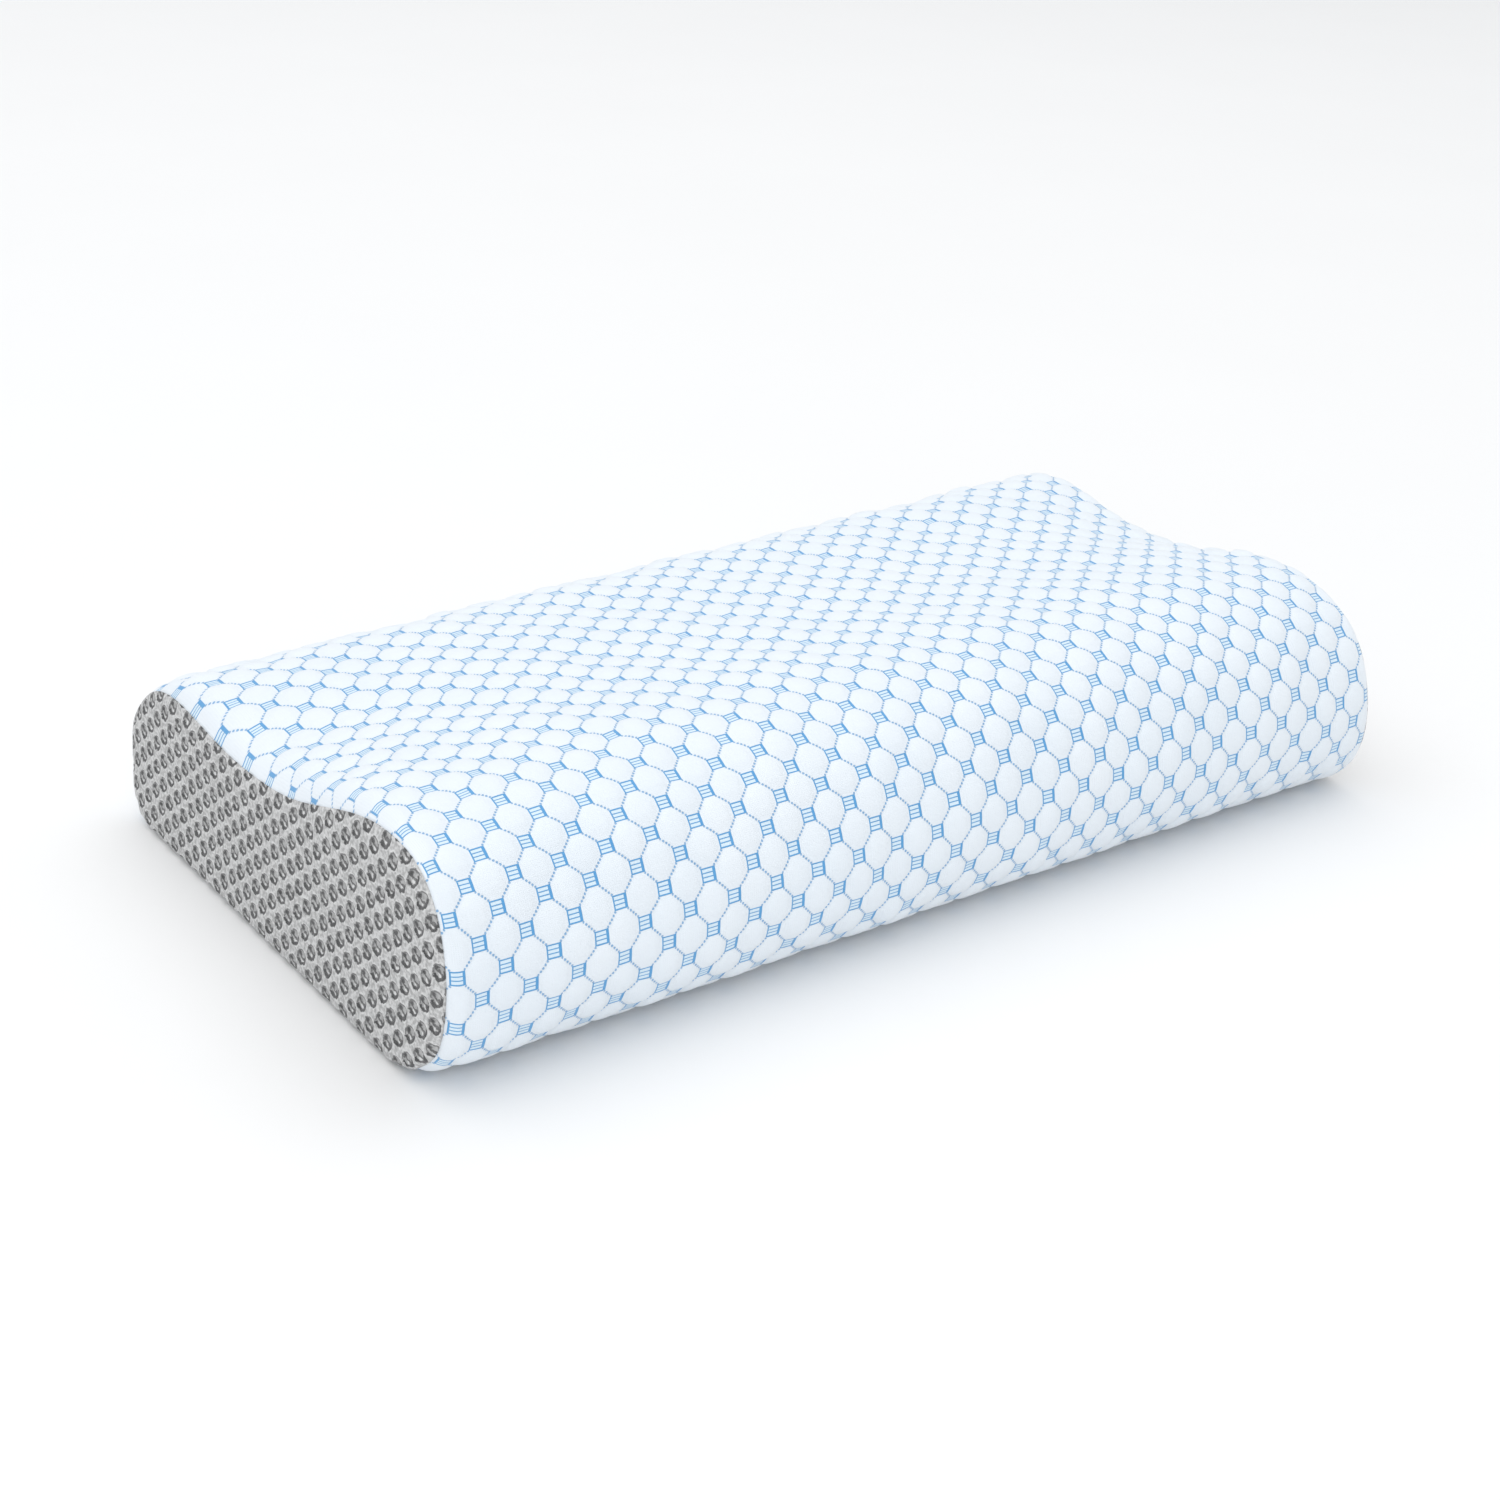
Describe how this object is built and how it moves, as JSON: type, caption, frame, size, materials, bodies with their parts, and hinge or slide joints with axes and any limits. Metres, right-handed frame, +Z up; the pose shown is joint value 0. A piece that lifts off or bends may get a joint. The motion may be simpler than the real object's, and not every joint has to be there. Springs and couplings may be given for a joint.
{
  "type": "contour pillow",
  "caption": "Contoured bed pillow: memory-foam core in a liner, quilted knit cover with spacer-mesh end panels and a zip along the back.",
  "frame": {"origin": "middle of the footprint, on the surface the pillow lies on", "axes": "+X along the pillow's length, -Y towards the high front lobe, +Z up"},
  "size_m": [0.6, 0.3523, 0.12],
  "materials": {
    "memory_foam": "open-cell foam, matte",
    "liner_tricot": "thin tricot knit",
    "quilted_knit": "quilted jacquard knit with small blue squares",
    "spacer_mesh": "three-dimensional air mesh",
    "seam_thread": "spun polyester thread",
    "zip_tape": "woven tape",
    "zip_coil": "nylon coil",
    "zip_metal": "satin nickel plate"
  },
  "bodies": {
    "pillow": {"foam_core": "memory_foam", "liner_wrap": "liner_tricot", "liner_end_left": "liner_tricot", "liner_end_right": "liner_tricot", "cover_wrap": "quilted_knit", "end_panel_left": "spacer_mesh", "end_panel_right": "spacer_mesh", "seam_thread_left": "seam_thread", "seam_thread_right": "seam_thread", "zipper_stitching_upper": "seam_thread", "zipper_stitching_lower": "seam_thread", "zipper_tape_upper": "zip_tape", "zipper_tape_lower": "zip_tape", "zipper_coil_upper": "zip_coil", "zipper_coil_lower": "zip_coil", "zipper_top_stop_upper": "zip_metal", "zipper_top_stop_lower": "zip_metal", "zipper_bottom_stop": "zip_metal"},
    "slider": {"zipper_slider": "zip_metal"},
    "pull": {"zipper_pull": "zip_metal"}
  },
  "joints": [
    {"name": "zip_slide", "type": "slide", "parent": "pillow", "child": "slider", "axis": [1, 0, 0], "range_m": [-0.49, 0]},
    {"name": "pull_hinge", "type": "hinge", "parent": "slider", "child": "pull", "pos_m": [0.2454, 0.17575, 0.032], "axis": [0, 0, -1], "range_deg": [0, 180]}
  ]
}
